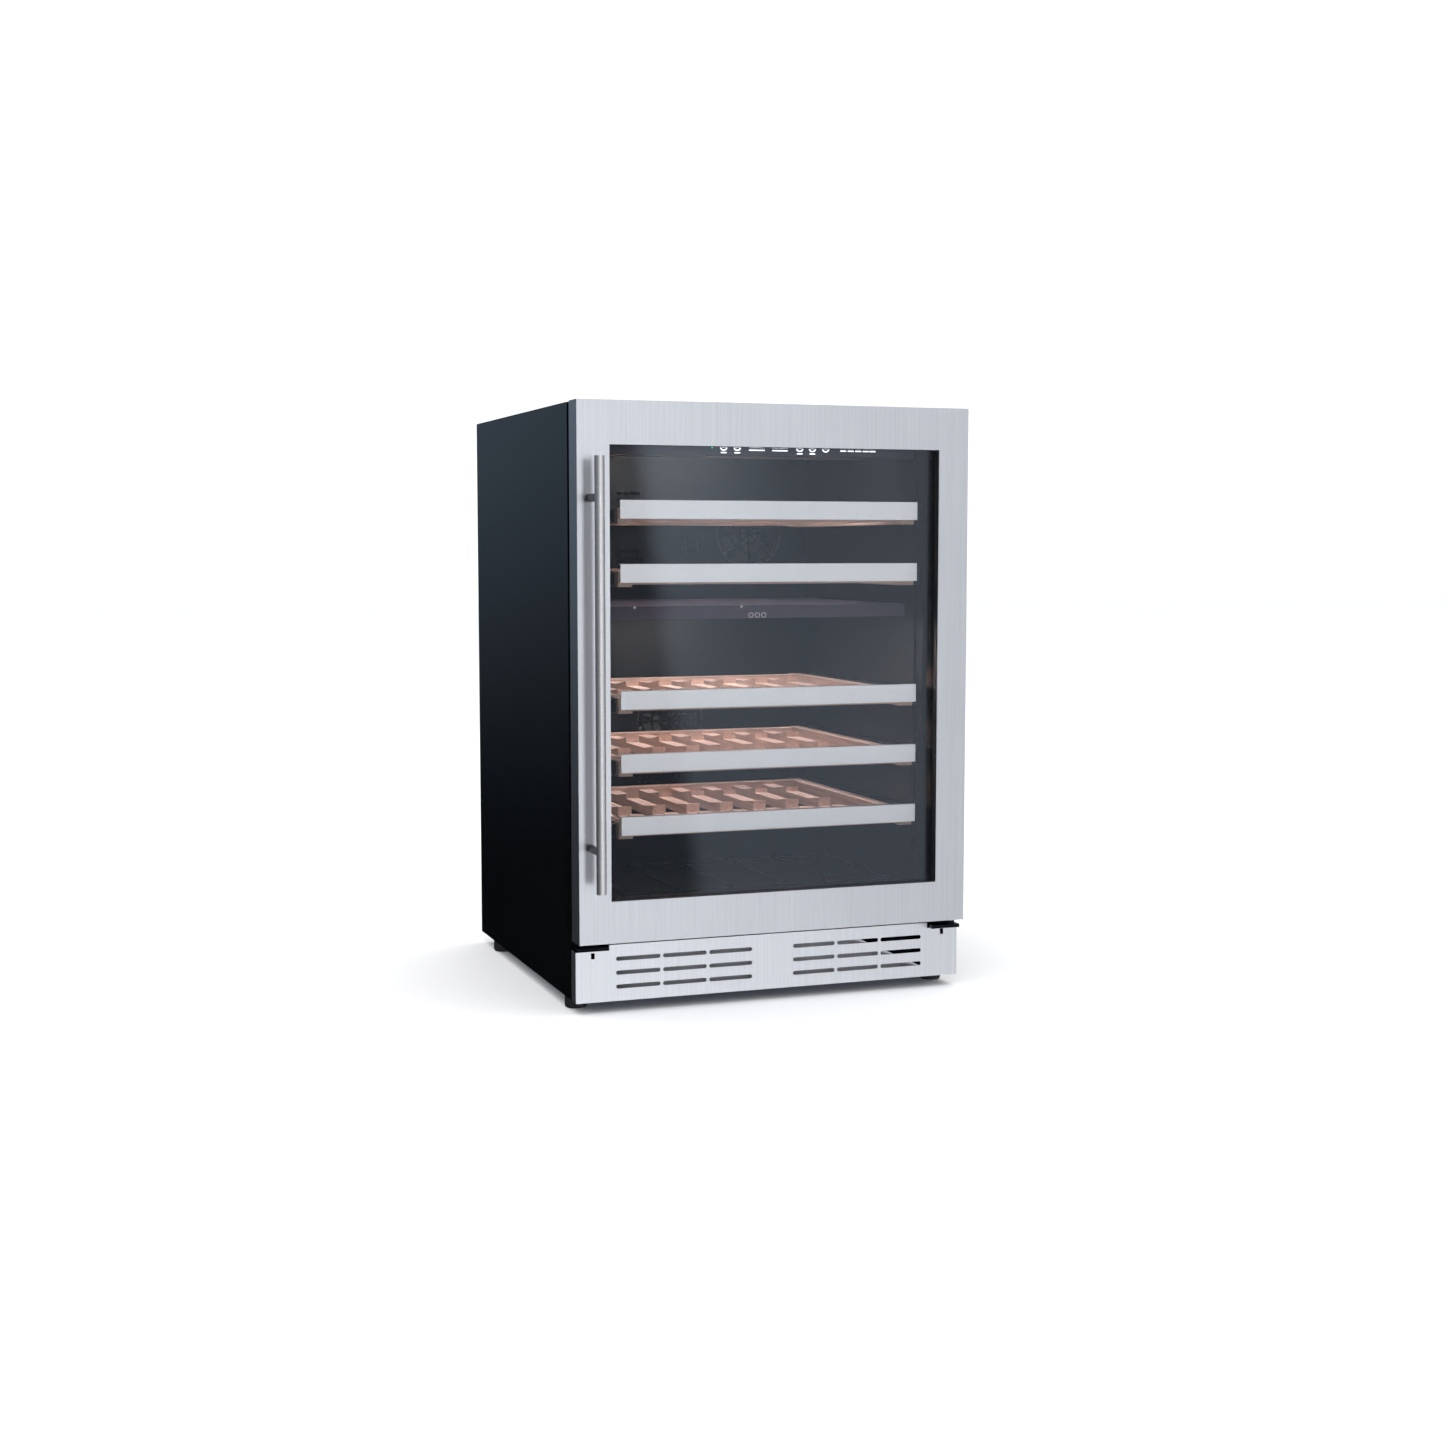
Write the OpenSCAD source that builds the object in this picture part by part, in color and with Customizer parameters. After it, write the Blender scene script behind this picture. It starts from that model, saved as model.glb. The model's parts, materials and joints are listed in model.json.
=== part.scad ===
// Dual-zone wine cooler for a worktop niche: glass door hinged on the right, five pull-out shelves.
// Frame: origin on the floor under the middle of the outline, +Z up, the door faces -Y, millimetres.

/* [Overall] */
// Width of the cabinet and of the door
width = 595; // [590:1:600]
// Height from the floor to the top of the door
height = 860; // [858:1:870]
// Depth from the door's front face to the back panel
depth = 597; // [595:1:605]

/* [Door] */
// Thickness of the door without the handle
door_t = 39; // [38:1:40]
// Gap for the magnetic seal between door and cabinet
seal_gap = 10; // [9.5:0.5:11]
// Width of the door's face beside the window
stile_w = 46.7; // [45:0.1:48]
// Height of the door's face above the window
top_rail = 60.9; // [58:0.1:62]
// Height of the door's face below the window
bottom_rail = 59.4; // [58:0.1:62]
// Height of the door's lower edge above the floor
door_z0 = 104; // [103.5:0.1:105]

/* [Glass] */
// Thickness of each pane
pane_t = 3; // [2.5:0.5:3]
// Gas gap between the panes
pane_gap = 10; // [8:1:10]

/* [Handle] */
// Diameter of the handle bar
handle_d = 14; // [12:1:14]
// Length of the handle bar
handle_len = 597.6; // [500:0.1:610]
// Distance from the door's face to the middle of the bar
handle_out = 50; // [45:1:50]
// Distance from the door's left edge to the middle of the bar
handle_inset = 17.5; // [16:0.5:20]
// Diameter of the handle's posts
post_d = 11; // [9:1:12]
// Distance between the posts
post_gap = 485; // [400:1:490]

/* [Cabinet] */
// Thickness of the steel panels
sheet_t = 1.2; // [1:0.1:1.4]
// Thickness of the moulded inner liner
liner_t = 2; // [1.5:0.5:2]
// Inner width of the cavity
cavity_w = 492; // [491:1:493]
// Height of the cavity's floor above the room's floor
floor_z = 150; // [149:1:152]
// Height of the step over the machine compartment, inside the cavity
hump_z = 225; // [220:1:226]
// Wall left for foam under the cavity's floor and step
foam_t = 28; // [26:1:29]

/* [Shelves] */
// Width of a shelf without its runners
shelf_w = 456; // [450:1:456]
// Height of the steel strip on a shelf's front
strip_h = 26; // [24:1:27]
// Height difference between neighbouring shelf places
shelf_pitch = 89.2; // [88:0.1:90]
// Distance from the door's top edge to the top of the highest shelf
first_shelf = 136; // [135:1:137]
// Number of slats in a shelf
slat_n = 7; // [5:2:7]
// Width of a slat
slat_w = 21; // [18:1:24]
// Depth of a shelf from the strip to the back rail's rear face
shelf_d = 455; // [450:1:456]

/* [Kick grille] */
// Length of a slot
slot_len = 66; // [50:1:66]
// Height of a slot
slot_h = 6; // [5:0.5:7]
// Distance between slot rows
slot_rows = 20; // [18:1:21]
// Distance between slot columns
slot_cols = 70; // [68:1:71]

/* [Feet] */
// Diameter of a foot's pad
foot_d = 32; // [28:1:34]
// Diameter of a foot's stud
stud_d = 10; // [8:1:10]

/* [Fans] */
// Diameter of the cavity fans' rotors
fan_d = 104; // [90:1:106]
// Diameter of the condenser fan's rotor
cond_fan_d = 82; // [70:1:84]

/* [Hidden] */

$fn = 48;
eps = 0.01;
hw = width / 2;
handle_reach = handle_out + handle_d / 2;
door_y = handle_reach - (depth + handle_reach) / 2;
back_y = door_y + depth;
cab_y = door_y + door_t + seal_gap;
cab_z0 = 17.5;
cab_z1 = height - 1;
in_x = hw - sheet_t - 0.1;

win_x = hw - stile_w;
win_z0 = door_z0 + bottom_rail;
win_z1 = height - top_rail;

cav_x = cavity_w / 2;
mouth_x = cav_x + 3;
mouth_y = cab_y + 24;
ceil_z = height - 36;
hump_y = door_y + 400;
liner_back = door_y + 537;
cover_y = door_y + 497;
foam_z0 = floor_z - liner_t - foam_t - 2;
machine_y = hump_y + liner_t + foam_t;
machine_z = hump_z - liner_t - foam_t;

rebate = 7.2;
glass_x = win_x + rebate;
pane_y1 = door_y + sheet_t + 0.1;
pane_y2 = pane_y1 + pane_t;
pane_y3 = pane_y2 + pane_gap;
pane_y4 = pane_y3 + pane_t;

hinge_x = hw - 14;
hinge_y = door_y + 20;
pin_r = 5;
bush_r = 8;
run_fit = 0.05;
arm_r = 7;
low_screw_z = [45, 72];
high_screw_z = [height - 28, height - 16];
cover_back = back_y - 9 + sheet_t;
cover_screw_x = [-280, 0, 280];
cover_screw_z = [70, machine_z - 12];

handle_x = -hw + handle_inset;
handle_y = door_y - handle_out;
handle_z = (height + door_z0) / 2 + 0.5;
post_z = [handle_z + 0.5 - post_gap / 2, handle_z + 0.5 + post_gap / 2];

div_z0 = height - 306;
div_z1 = height - 287;
panel_y = door_y + 73;
panel_z0 = height - 71;

strip_y = door_y + 27;
wood_y = strip_y + 12;
shelf_back = strip_y + shelf_d;
shelf_places = [0, 1, 3, 4, 5];
rail_w = 20.5;
bar_x = [200, 110];
bar_t = 5;
bar_depth = 12;
bar_y = [panel_y + 84, door_y + 330];
slide_h = 23;
slide_drop = 21.5;
slide_y0 = wood_y + 15;
slide_y1 = shelf_back - 5;
slat_drop = 16;
slat_t = 13;
notch_h = 8;
notch_y0 = door_y + 173;
ramp_h = [5.5, 8];
ramp_y = [door_y + 220, door_y + 354];
ramp_end = [door_y + 265, door_y + 408];

upper_fan_x = 141;
upper_fan_z = height - 179;
lower_fan_x = 2;
lower_fan_z = height - 489;
comp_x = 60;
comp_y = back_y - 84;
comp_r = 60;
gland_x = -220;
gland_z = 60;
gland_bore_r = 4.2;
plate_foot_x = 58;
plate_foot_y = 54;
cond_x0 = -240;
cond_x1 = -30;
cond_y = door_y + 90;
cond_z0 = 24;
cond_z1 = 108;
cond_fan_x = -135;
cond_fan_z = 66;
cond_fan_y = door_y + 120;
fan_pin_r = 2;
louvre_x = -69.5;
louvre_w = 41;
louvre_h = 5;
louvre_z = [height - 114, height - 209];
louvre_pitch = 11.5;
sensor_x0 = 24;
sensor_x1 = 59;
sensor_z0 = height - 213;
sensor_z1 = height - 183;
vent_x = -57;
vent_z0 = height - 590;
vent_z1 = height - 578;
hub_r = 17;
fan_depth = 25;
fan_size = 118;
cond_fan_size = 92;
fan_mouth_r = 58;
guard_wire = 1.6;
duct_t = 2;

grille_y = door_y + 21.4;
grille_z0 = 17;
grille_z1 = 98;
notch_x = 248;
notch_z = 90;

foot_x = hw - foot_d / 2 - 0.2;
foot_y0 = door_y + 79;
foot_y1 = door_y + 510;
post_x = hw - 37;
post_z1 = 58;
box_x0 = -254;
box_x1 = -150;
box_y0 = back_y - 130;
box_y1 = back_y - 20;
box_z1 = 76;

function shelf_top(i) = height - first_shelf - shelf_places[i - 1] * shelf_pitch;

// a block between two corners
module block(x0, x1, y0, y1, z0, z1)
  translate([x0, y0, z0]) cube([x1 - x0, y1 - y0, z1 - z0]);

module rod_x(x0, x1, y, z, r)
  translate([x0, y, z]) rotate([0, 90, 0]) cylinder(h = x1 - x0, r = r);

module rod_y(x, y0, y1, z, r)
  translate([x, y0, z]) rotate([-90, 0, 0]) cylinder(h = y1 - y0, r = r);

module rod_z(x, y, z0, z1, r)
  translate([x, y, z0]) cylinder(h = z1 - z0, r = r);

// the children and their mirror image on the other side
module both_sides() {
  children();
  mirror([1, 0, 0]) children();
}

// a slot with round ends through a sheet that faces along Y
module slot_y(x, y0, y1, z, len, h) {
  block(x - len / 2 + h / 2, x + len / 2 - h / 2, y0, y1, z - h / 2, z + h / 2);
  rod_y(x - len / 2 + h / 2, y0, y1, z, h / 2);
  rod_y(x + len / 2 - h / 2, y0, y1, z, h / 2);
}

// ---------- cabinet ----------

module left_side_panel() color("#15181c")
  block(-hw, -hw + sheet_t, cab_y, back_y, cab_z0, cab_z1);

module right_side_panel() color("#15181c")
  block(hw - sheet_t, hw, cab_y, back_y, cab_z0, cab_z1);

module top_panel() color("#15181c")
  block(-in_x, in_x, cab_y, back_y, cab_z1 - sheet_t, cab_z1);

module back_panel() color("#2a2c2f")
  block(-in_x, in_x, back_y - sheet_t, back_y, machine_z + 0.1, cab_z1 - sheet_t - 0.1);

// the recessed cover has two groups of louvres and a hole for the mains cable's gland
module machine_cover() color("#2a2c2f") {
  y0 = cover_back - sheet_t - 1;
  y1 = cover_back + 1;
  difference() {
    block(-in_x, in_x, cover_back - sheet_t, cover_back, 19.1, machine_z - 0.1);
    both_sides()
      for (row = [0 : 7]) slot_y(95, y0, y1, 60 + 14 * row, 110, 5);
    for (x = cover_screw_x, z = cover_screw_z) rod_y(x, y0, y1, z, 2.1);
    rod_y(gland_x, y0, y1, gland_z, 8.1);
  }
}

module cavity(grow) {
  back = liner_back + grow;
  block(-mouth_x - grow, mouth_x + grow, cab_y - 1 + grow, mouth_y + grow, floor_z - grow, ceil_z + grow);
  block(-cav_x - grow, cav_x + grow, mouth_y - 1, back, hump_z - grow, ceil_z + grow);
  block(-cav_x - grow, cav_x + grow, mouth_y - 1, hump_y + grow, floor_z - grow, ceil_z - 1);
}

module upper_screw_holes()
  for (z = high_screw_z) rod_y(hw - 9, cab_y - 1, cab_y + 9, z, 2.1);

module inner_liner() color("#3a3f47")
  difference() {
    union() {
      cavity(liner_t);
      block(-in_x, in_x, cab_y, cab_y + liner_t, foam_z0, cab_z1 - sheet_t - 0.1);
    }
    cavity(0);
    upper_screw_holes();
  }

module foam_insulation() color("#d9cf9a")
  difference() {
    block(-in_x, in_x, cab_y + liner_t, back_y - sheet_t, foam_z0, cab_z1 - sheet_t - 0.1);
    cavity(liner_t);
    block(-hw, hw, machine_y, back_y, foam_z0 - 1, machine_z);
    upper_screw_holes();
  }

// bottom sheet with four corner posts that take the feet's studs
module base_pan() color("#1c1e20")
  difference() {
    union() {
      block(-in_x, in_x, grille_y + sheet_t + 0.1, back_y - 8, cab_z0, cab_z0 + 1.5);
      both_sides() {
        block(post_x, in_x, cab_y + 0.1, foot_y0 + 18, cab_z0 + 1, foam_z0 - 0.1);
        block(post_x, in_x, foot_y1 - 18, foot_y1 + 18, cab_z0 + 1, post_z1);
      }
    }
    both_sides() {
      rod_z(foot_x, foot_y0, cab_z0 - 1, post_z1 + 4, stud_d / 2 + run_fit);
      rod_z(foot_x, foot_y1, cab_z0 - 1, post_z1 + 4, stud_d / 2 + run_fit);
      for (z = low_screw_z) rod_y(hw - 16, cab_y - 1, cab_y + 8, z, 2.6);
    }
    for (row = [0 : 5]) block(-60, 60, door_y + 150 + 14 * row, door_y + 156 + 14 * row, cab_z0 - 1, 22);
  }

// a round guard of rings and spokes left standing in a fan's mouth
module fan_mouth(x, z, r, y0, y1)
  difference() {
    rod_y(x, y0 - 1, y1 + 1, z, r);
    for (ring = [1 : 3])
      difference() {
        rod_y(x, y0, y1, z, r * ring / 3.6 + guard_wire);
        rod_y(x, y0 - 1, y1 + 1, z, r * ring / 3.6 - guard_wire);
      }
    for (turn = [0 : 45 : 135])
      translate([x, (y0 + y1) / 2, z]) rotate([0, turn, 0])
        cube([2 * r, y1 - y0, 2 * guard_wire], center = true);
  }

// the panels behind the shelves, with louvres, fan mouths and the sensor's little grille
module duct_covers() color("#3a3f47") {
  y1 = cover_y + duct_t;
  difference() {
    union() {
      block(-cav_x + 0.1, cav_x - 0.1, cover_y, y1, div_z1 + 0.1, ceil_z - 0.1);
      block(sensor_x0, sensor_x1, cover_y - 6, cover_y + 1, sensor_z0, sensor_z1);
    }
    fan_mouth(upper_fan_x, upper_fan_z, fan_mouth_r, cover_y, y1);
    for (z = louvre_z, row = [0 : 3])
      slot_y(louvre_x, cover_y - 1, y1 + 1, z - louvre_pitch * row, louvre_w, louvre_h);
    for (x = [sensor_x0 + 4 : 4 : sensor_x1 - 5])
      block(x, x + 2, cover_y - 7, y1 + 1, sensor_z0 + 4, sensor_z1 - 4);
  }
  difference() {
    block(-cav_x + 0.1, cav_x - 0.1, cover_y, y1, hump_z + 0.1, div_z0 - 0.1);
    fan_mouth(lower_fan_x, lower_fan_z, fan_mouth_r, cover_y, y1);
    for (x = [vent_x : 12 : vent_x + 96])
      block(x, x + 6, cover_y - 1, y1 + 1, vent_z0, vent_z1);
  }
}

// a finned block with tubes across it
module fin_block(x0, x1, y0, y1, z0, z1, pitch, tube_r) {
  n = floor((x1 - x0) / pitch);
  for (fin = [0 : n]) block(x0 + fin * pitch, x0 + fin * pitch + 1, y0, y1, z0, z1);
  for (part = [0.2, 0.5, 0.8]) rod_x(x0, x0 + n * pitch + 1, (y0 + y1) / 2, z0 + (z1 - z0) * part, tube_r);
}

module evaporators() color("#b9c0c4") {
  fin_block(-235, 68, cover_y + 6, cover_y + 34, height - 250, height - 90, 12, 4.5);
  fin_block(-235, 228, cover_y + 6, cover_y + 34, height - 418, height - 330, 14, 4.5);
}

// square frame, round duct, motor on four arms, and the pin that the rotor turns on
module fan_frame(x, y0, z, size, r) {
  difference() {
    block(x - size / 2, x + size / 2, y0, y0 + fan_depth, z - size / 2, z + size / 2);
    rod_y(x, y0 - 1, y0 + fan_depth + 1, z, r);
  }
  rod_y(x, y0 + fan_depth - 5, y0 + fan_depth, z, hub_r);
  rod_y(x, y0 + 2, y0 + fan_depth - 4, z, fan_pin_r);
  for (turn = [45, 135])
    translate([x, y0 + fan_depth - 1.5, z]) rotate([0, turn, 0]) cube([2 * r + 2, 3, 5], center = true);
}

// hub with a bore for the pin and seven flat pitched blades
module fan_rotor(x, y0, z, d)
  translate([x, y0, z]) rotate([-90, 0, 0]) difference() {
    union() {
      translate([0, 0, 3]) cylinder(h = 15, r = hub_r);
      intersection() {
        translate([0, 0, 3]) cylinder(h = 15, r = d / 2);
        for (blade = [0 : 6])
          rotate([0, 0, blade * 360 / 7]) translate([d / 4, 0, 10.5]) rotate([32, 0, 0])
            cube([d / 2, 24, 1.6], center = true);
      }
    }
    cylinder(h = 40, r = fan_pin_r + run_fit, center = true);
  }

module fan_frames() color("#1b1d20") {
  fan_frame(upper_fan_x, cover_y + 2.2, upper_fan_z, fan_size, fan_d / 2 + 3);
  fan_frame(lower_fan_x, cover_y + 2.2, lower_fan_z, fan_size, fan_d / 2 + 3);
}

module upper_fan_rotor() color("#2b2e33") fan_rotor(upper_fan_x, cover_y + 2.2, upper_fan_z, fan_d);

module lower_fan_rotor() color("#2b2e33") fan_rotor(lower_fan_x, cover_y + 2.2, lower_fan_z, fan_d);

module condenser() color("#2f3234")
  fin_block(cond_x0, cond_x1, cond_y - 18, cond_y + 18, cond_z0, cond_z1, 7, 4);

module condenser_fan_frame() color("#1b1d20")
  fan_frame(cond_fan_x, cond_fan_y, cond_fan_z, cond_fan_size, cond_fan_d / 2 + 2);

module condenser_fan_rotor() color("#2b2e33") fan_rotor(cond_fan_x, cond_fan_y, cond_fan_z, cond_fan_d);

// ---------- machine compartment ----------

module compressor() color("#161719") {
  translate([comp_x, comp_y, 34]) rotate_extrude($fn = 64) union() {
    translate([0, 12]) square([comp_r, 86]);
    intersection() {
      translate([0, 62]) circle(r = 70);
      translate([0, 98]) square([60, 60]);
    }
    square([48, 14]);
  }
  difference() {
    block(comp_x - 70, comp_x + 70, comp_y - 66, comp_y + 66, 30, 34);
    for (dx = [-1, 1], dy = [-1, 1])
      rod_z(comp_x + dx * plate_foot_x, comp_y + dy * plate_foot_y, 29, 35, 6.2);
  }
  block(comp_x - 74, comp_x - 56, comp_y - 22, comp_y + 22, 62, 104);
}

module compressor_grommets() color("#111111")
  for (dx = [-1, 1], dy = [-1, 1]) {
    x = comp_x + dx * plate_foot_x;
    y = comp_y + dy * plate_foot_y;
    rod_z(x, y, cab_z0 + 1.5, 30, 10);
    rod_z(x, y, 30, 37, 6);
  }

module drip_tray() color("#2c3036")
  difference() {
    block(comp_x - 64, comp_x + 64, comp_y - 56, comp_y + 56, 170, 186);
    block(comp_x - 62, comp_x + 62, comp_y - 54, comp_y + 54, 172, 187);
  }

// a tube along straight legs with a ball at each corner
module pipe(points, r) {
  for (leg = [0 : len(points) - 2]) {
    run = points[leg + 1] - points[leg];
    flat = norm([run[0], run[1]]);
    translate(points[leg]) rotate([0, atan2(flat, run[2]), atan2(run[1], run[0])])
      cylinder(h = norm(run), r = r, $fn = 24);
  }
  for (bend = [1 : len(points) - 2]) translate(points[bend]) sphere(r = r * 1.02, $fn = 24);
}

// hot gas to the condenser, liquid through the drier, and the two lines that go up into the foam
module refrigerant_pipes() color("#b87444") {
  gas_z = cond_z0 + (cond_z1 - cond_z0) * 0.8;
  liquid_z = cond_z0 + (cond_z1 - cond_z0) * 0.2;
  cond_end = cond_x1 + 1.1;
  turn_y = machine_y - 20;
  difference() {
    union() {
      pipe([[comp_x + 34, comp_y - 40, gas_z], [comp_x + 34, turn_y, gas_z], [180, turn_y, gas_z],
            [180, cond_y, gas_z], [cond_end, cond_y, gas_z]], 3.2);
      pipe([[comp_x - 30, comp_y + 44, 112], [comp_x - 90, comp_y + 44, 112],
            [comp_x - 90, comp_y + 44, machine_z - 0.1]], 4);
    }
    rod_z(comp_x, comp_y, 34, 140, comp_r + 0.05);
  }
  pipe([[cond_end, cond_y, liquid_z], [20, cond_y, liquid_z], [20, 60, liquid_z]], 3.2);
  rod_y(20, 60, 150, liquid_z, 9);
  pipe([[20, 149, liquid_z], [20, comp_y - 70, liquid_z], [-100, comp_y - 70, liquid_z],
        [-100, comp_y - 70, machine_z - 0.1]], 2.4);
}

// the electronics' housing and its overhanging lid
module control_box() color("#d8dadb") {
  block(box_x0, box_x1, box_y0, box_y1, cab_z0 + 1.5, box_z1);
  block(box_x0 - 4, box_x1 + 4, box_y0 - 4, box_y1 + 4, box_z1, box_z1 + 6);
}

// a round gland in the machine cover with a bore for the mains cable
module mains_gland() color("#17181a")
  difference() {
    union() {
      rod_y(gland_x, back_y - 16, back_y - 1, gland_z, 8);
      rod_y(gland_x, cover_back + 0.1, back_y, gland_z, 12);
    }
    rod_y(gland_x, back_y - 20, back_y + 1, gland_z, gland_bore_r);
  }

// ---------- inside the cavity ----------

// the shelf between the zones has a groove in its underside that takes the lower lamp
module zone_divider() color("#4a4652")
  difference() {
    block(-cav_x + 0.2, cav_x - 0.2, door_y + 105, liner_back - 0.2, div_z0, div_z1);
    block(-bar_x[1] - 0.1, bar_x[1] + 0.1, bar_y[1] - 0.1, bar_y[1] + bar_depth + 0.1,
          div_z0 - 1, div_z0 + bar_t + 0.1);
  }

module control_housing() color("#2d3036")
  block(-cav_x + 0.3, cav_x - 0.3, panel_y + 2, panel_y + 76, panel_z0, ceil_z - 0.1);

module touch_glass() color("#55525f")
  block(-cav_x + 2, cav_x - 2, panel_y, panel_y + 2, panel_z0 + 0.5, ceil_z - 1);

module light_bars() color("#f2f5ff") {
  block(-bar_x[0], bar_x[0], bar_y[0], bar_y[0] + bar_depth, ceil_z - bar_t, ceil_z - 0.1);
  block(-bar_x[1], bar_x[1], bar_y[1], bar_y[1] + bar_depth, div_z0 + 0.1, div_z0 + bar_t);
}

// C-shaped slide member: web at x0, lips towards x1
module channel(x0, x1, y0, y1, z, h, t)
  difference() {
    block(min(x0, x1), max(x0, x1), y0, y1, z - h / 2, z + h / 2);
    translate([x1 > x0 ? t : -t, 0, 0])
      block(min(x0, x1), max(x0, x1), y0 - 1, y1 + 1, z - h / 2 + t, z + h / 2 - t);
  }

module fixed_slides() color("#3b3f45")
  for (i = [1 : 5])
    both_sides()
      channel(cav_x - 0.1, shelf_w / 2 + 3.5, slide_y0, slide_y1, shelf_top(i) - slide_drop, slide_h, 1.5);

module shelf_runners(i) color("#6d737a")
  both_sides()
    channel(shelf_w / 2, cav_x - 4, slide_y0, slide_y1, shelf_top(i) - slide_drop, slide_h - 5, 1.5);

// six wires front to back on two cross wires, a finger above the cavity's floor
module bottom_rack() color("#202328") {
  y0 = door_y + 85;
  y1 = door_y + 340;
  z = floor_z + 10;
  for (x = [-207.5 : 83 : 208]) rod_y(x, y0, y1, z, 2);
  rod_x(-212, 212, y0 + 4, z - 3.4, 2);
  rod_x(-212, 212, y1 - 4, z - 3.4, 2);
  both_sides() {
    rod_z(205, y0 + 4, floor_z + 0.1, z - 3, 2);
    rod_z(205, y1 - 4, floor_z + 0.1, z - 3, 2);
  }
}

// ---------- kick grille, brackets and screws ----------

module kick_grille() color("#c3c8cf")
  difference() {
    block(-hw, hw, grille_y, grille_y + 22, grille_z0, grille_z1);
    block(-hw + sheet_t, hw - sheet_t, grille_y + sheet_t, grille_y + 23,
          grille_z0 - 1, grille_z1 - sheet_t);
    block(-hw, hw, grille_y + 8, grille_y + 23, grille_z1 - 2 * sheet_t, grille_z1 + 1);
    both_sides() {
      block(notch_x, hw + 1, grille_y - 1, grille_y + 23, notch_z, grille_z1 + 1);
      block(hw - 28, hw - 22.5, grille_y - 1, grille_y + 2, 79.4, 87.9);
      for (col = [0 : 2], row = [0 : 2])
        slot_y(65 + col * slot_cols, grille_y - 1, grille_y + 2, 37.5 + row * slot_rows, slot_len, slot_h);
    }
  }

module bracket_plate(x0, x1, y0) {
  block(x0, x1, y0, cab_y - 0.1, notch_z + 1, notch_z + 6);
  block(x0 + 12, x1 - 1, cab_y - 3.2, cab_y - 0.1, 30, notch_z + 2);
}

// the right bracket carries the door on its pin, the left one waits for a door hung the other way
module lower_hinge_brackets() color("#0e0f11") {
  difference() {
    union() {
      bracket_plate(notch_x + 2, hw - 2.5, hinge_y - 12);
      rod_z(hinge_x, hinge_y, notch_z + 6, door_z0 - 2.8, bush_r);
      rod_z(hinge_x, hinge_y, notch_z + 6, door_z0 + 18, pin_r);
    }
    for (z = low_screw_z) rod_y(hw - 16, cab_y - 4, cab_y, z, 2.6);
  }
  mirror([1, 0, 0]) difference() {
    bracket_plate(notch_x + 2, hw - 4.5, hinge_y - 2);
    for (z = low_screw_z) rod_y(hw - 16, cab_y - 4, cab_y, z, 2.6);
  }
}

module upper_hinge_bracket() color("#0e0f11")
  difference() {
    union() {
      block(hinge_x - arm_r, hinge_x + arm_r, hinge_y, cab_y - 0.1, height - 8, height - 4);
      rod_z(hinge_x, hinge_y, height - 8, height - 4, arm_r);
      rod_z(hinge_x, hinge_y, height - 31, height - 7, pin_r);
      block(hw - 20, hw - 3, cab_y - 3.2, cab_y - 0.1, height - 34, height - 4);
    }
    for (z = high_screw_z) rod_y(hw - 9, cab_y - 4, cab_y, z, 2.1);
  }

// one pan-head screw, head towards -Y
module screw_y(x, y, z, r, head) {
  rod_y(x, y, y + head, z, r * 1.9);
  rod_y(x, y + head - eps, y + 12, z, r);
}

// bracket screws in front, cover screws behind with their heads towards +Y
module cabinet_screws() color("#8b9096") {
  both_sides()
    for (z = low_screw_z) screw_y(hw - 16, cab_y - 5.6, z, 2.5, 2.3);
  for (z = high_screw_z) screw_y(hw - 9, cab_y - 4.7, z, 2, 1.4);
  for (x = cover_screw_x, z = cover_screw_z)
    mirror([0, 1, 0]) screw_y(x, -cover_back - 1.6, z, 2, 1.5);
}

// ---------- door ----------

// room for the upper hinge arm while the door swings
module hinge_notch()
  block(hinge_x - 15, hw + 1, door_y + 4, door_y + door_t + 1, height - 11, height + 1);

module door_skin() color("#c6cad0")
  difference() {
    block(-hw, hw, door_y, door_y + door_t, door_z0, height);
    block(-hw + sheet_t, hw - sheet_t, door_y + sheet_t, door_y + door_t + 1,
          door_z0 + sheet_t, height - sheet_t);
    block(-win_x, win_x, door_y - 1, door_y + 2, win_z0, win_z1);
    rod_z(hinge_x, hinge_y, door_z0 - 1, door_z0 + 2, bush_r + 0.1);
    hinge_notch();
    for (z = post_z) rod_y(handle_x, door_y - 1, door_y + 2, z, 2.6);
  }

module door_frame() color("#0c0d0f")
  difference() {
    block(-in_x, in_x, door_y + sheet_t + 0.1, door_y + door_t,
          door_z0 + sheet_t + 0.1, height - sheet_t - 0.1);
    block(-win_x, win_x, door_y, door_y + door_t + 1, win_z0, win_z1);
    block(-glass_x, glass_x, door_y, pane_y4 + 0.1, win_z0 - rebate, win_z1 + rebate);
    rod_z(hinge_x, hinge_y, door_z0, door_z0 + 20.1, bush_r + 0.02);
    rod_z(hinge_x, hinge_y, height - 32, height - 5, bush_r + 0.02);
    hinge_notch();
  }

module pane(y0, y1)
  block(-glass_x + 0.2, glass_x - 0.2, y0, y1, win_z0 - rebate + 0.2, win_z1 + rebate - 0.2);

module outer_glass() color("#7c8894", 0.35) pane(pane_y1, pane_y2);

module inner_glass() color("#7c8894", 0.35) pane(pane_y3, pane_y4);

module glass_spacer() color("#101113")
  difference() {
    pane(pane_y2, pane_y3);
    block(-win_x - 0.3, win_x + 0.3, pane_y2 - 1, pane_y3 + 1, win_z0 - 0.3, win_z1 + 0.3);
  }

module door_gasket() color("#08090a")
  difference() {
    block(-hw + 22.5, hw - 22.5, door_y + door_t, cab_y - 0.3, door_z0 + 20, height - 22.5);
    block(-hw + 35.5, hw - 35.5, door_y + door_t - 1, cab_y + 1, door_z0 + 33, height - 35.5);
  }

module handle_bar() color("#b4b8bd")
  rod_z(handle_x, handle_y, handle_z - handle_len / 2, handle_z + handle_len / 2, handle_d / 2);

module handle_posts() color("#a9adb2")
  difference() {
    for (z = post_z) rod_y(handle_x, handle_y, door_y, z, post_d / 2);
    rod_z(handle_x, handle_y, handle_z - handle_len, handle_z + handle_len, handle_d / 2);
  }

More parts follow.
